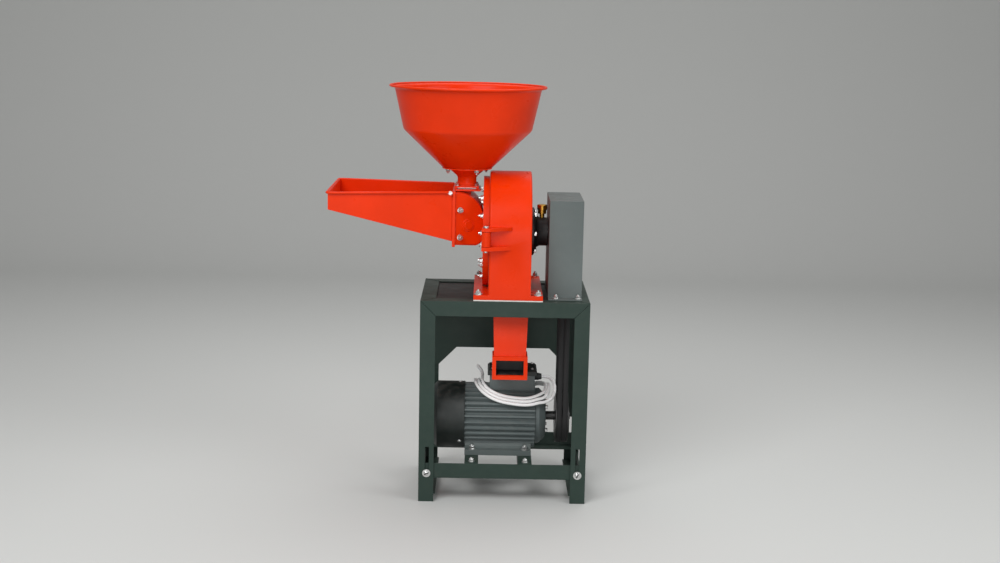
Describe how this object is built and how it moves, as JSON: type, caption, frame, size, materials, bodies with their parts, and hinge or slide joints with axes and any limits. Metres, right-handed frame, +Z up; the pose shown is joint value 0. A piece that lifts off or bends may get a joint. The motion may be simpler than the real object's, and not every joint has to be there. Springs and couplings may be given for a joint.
{
  "type": "hammer mill",
  "caption": "Belt-driven hammer mill on an angle-iron stand, with a round hopper, flared feed tray, side door, discharge spout and a foot motor below.",
  "frame": {"origin": "on the floor, under the middle of the whole machine", "axes": "+X to the right as the operator faces the discharge spout, +Y away from the operator, +Z up"},
  "size_m": [0.679, 0.4152, 1.0865],
  "materials": {
    "mill_red": "gloss enamel",
    "stand_green": "satin enamel",
    "deck_dark": "satin enamel",
    "guard_grey": "satin enamel",
    "motor_grey": "satin enamel on a casting",
    "shroud_dark": "satin enamel",
    "fan_plastic": "moulded",
    "bearing_black": "painted casting",
    "bare_steel": "turned",
    "dark_iron": "as cast and turned",
    "brass": "turned",
    "belt_rubber": "matt",
    "gasket_white": "matt",
    "cord_white": "smooth sheath"
  },
  "bodies": {
    "frame": {"leg_front_left": "stand_green", "leg_front_right": "stand_green", "leg_rear_left": "stand_green", "leg_rear_right": "stand_green", "top_rail_front": "stand_green", "top_rail_rear": "stand_green", "top_rail_left": "stand_green", "top_rail_right": "stand_green", "side_rail_left": "stand_green", "side_rail_right": "stand_green", "deck_plate": "deck_dark", "rear_panel": "stand_green", "base_gasket": "gasket_white", "mill_housing": "mill_red", "screen_ring": "bare_steel", "bearing_housing": "bearing_black", "shaft_bearing_1": "bare_steel", "shaft_bearing_2": "bare_steel", "grease_cup": "brass", "discharge_spout": "mill_red", "belt_guard": "guard_grey", "hinge_pin": "bare_steel", "latch_pivot": "bare_steel", "v_belt_1": "belt_rubber", "v_belt_2": "belt_rubber"},
    "grease_cap": {"grease_cap": "brass"},
    "mill_rotor": {"main_shaft": "bare_steel", "rotor_plate_left": "bare_steel", "rotor_plate_right": "bare_steel", "mill_pulley": "dark_iron"},
    "hammer_1": {"hammer_1": "dark_iron"},
    "hammer_2": {"hammer_2": "dark_iron"},
    "hammer_3": {"hammer_3": "dark_iron"},
    "hammer_4": {"hammer_4": "dark_iron"},
    "door": {"door_cover": "mill_red", "feed_head": "mill_red", "feed_tray": "mill_red", "hopper": "mill_red", "hopper_neck": "mill_red"},
    "feed_gate": {"feed_gate": "bare_steel"},
    "latch": {"latch_bolt": "bare_steel"},
    "latch_nut": {"latch_nut": "bare_steel"},
    "motor_deck": {"lower_rail_front": "stand_green", "lower_rail_rear": "stand_green", "motor_bar_left": "guard_grey", "motor_bar_right": "guard_grey", "motor_body": "motor_grey", "drive_end_shield": "motor_grey", "fan_cover": "shroud_dark", "terminal_box": "motor_grey", "terminal_box_lid": "shroud_dark", "cable_gland": "fan_plastic", "cord_lead": "cord_white", "cord_coil": "cord_white", "cord_tail": "cord_white"},
    "motor_rotor": {"motor_shaft": "bare_steel", "motor_pulley": "dark_iron", "cooling_fan": "fan_plastic"}
  },
  "joints": [
    {"name": "mill_spin", "type": "hinge", "parent": "frame", "child": "mill_rotor", "pos_m": [0.1195, 0, 0.7025], "axis": [1, 0, 0], "continuous": true},
    {"name": "door_swing", "type": "hinge", "parent": "frame", "child": "door", "pos_m": [0.0662, -0.178, 0.7025], "axis": [0, 0, 1], "range_deg": [0, 105]},
    {"name": "gate_slide", "type": "slide", "parent": "door", "child": "feed_gate", "axis": [0, 1, 0], "range_m": [0, 0.045]},
    {"name": "latch_swing", "type": "hinge", "parent": "frame", "child": "latch", "pos_m": [0.1195, 0.178, 0.7025], "axis": [0, 1, 0], "range_deg": [0, 90]},
    {"name": "nut_turn", "type": "hinge", "parent": "latch", "child": "latch_nut", "pos_m": [0.1195, 0.178, 0.63], "axis": [0, 0, 1], "continuous": true},
    {"name": "deck_slide", "type": "slide", "parent": "frame", "child": "motor_deck", "axis": [0, 0, 1], "range_m": [0, 0.025], "deforming": ["v_belt_1", "v_belt_2"]},
    {"name": "motor_spin", "type": "hinge", "parent": "motor_deck", "child": "motor_rotor", "pos_m": [0.1195, 0, 0.196], "axis": [1, 0, 0], "continuous": true},
    {"name": "cap_turn", "type": "hinge", "parent": "frame", "child": "grease_cap", "pos_m": [0.2143, 0, 0.77], "axis": [0, 0, 1], "continuous": true},
    {"name": "hammer_1_swing", "type": "hinge", "parent": "mill_rotor", "child": "hammer_1", "pos_m": [0.1195, 0, 0.7875], "axis": [1, 0, 0], "continuous": true},
    {"name": "hammer_2_swing", "type": "hinge", "parent": "mill_rotor", "child": "hammer_2", "pos_m": [0.1195, 0.085, 0.7025], "axis": [1, 0, 0], "continuous": true},
    {"name": "hammer_3_swing", "type": "hinge", "parent": "mill_rotor", "child": "hammer_3", "pos_m": [0.1195, 0, 0.6175], "axis": [1, 0, 0], "continuous": true},
    {"name": "hammer_4_swing", "type": "hinge", "parent": "mill_rotor", "child": "hammer_4", "pos_m": [0.1195, -0.085, 0.7025], "axis": [1, 0, 0], "continuous": true}
  ],
  "couplings": [
    {"joint": "motor_spin", "follows": "mill_spin", "ratio": 0.625}
  ]
}
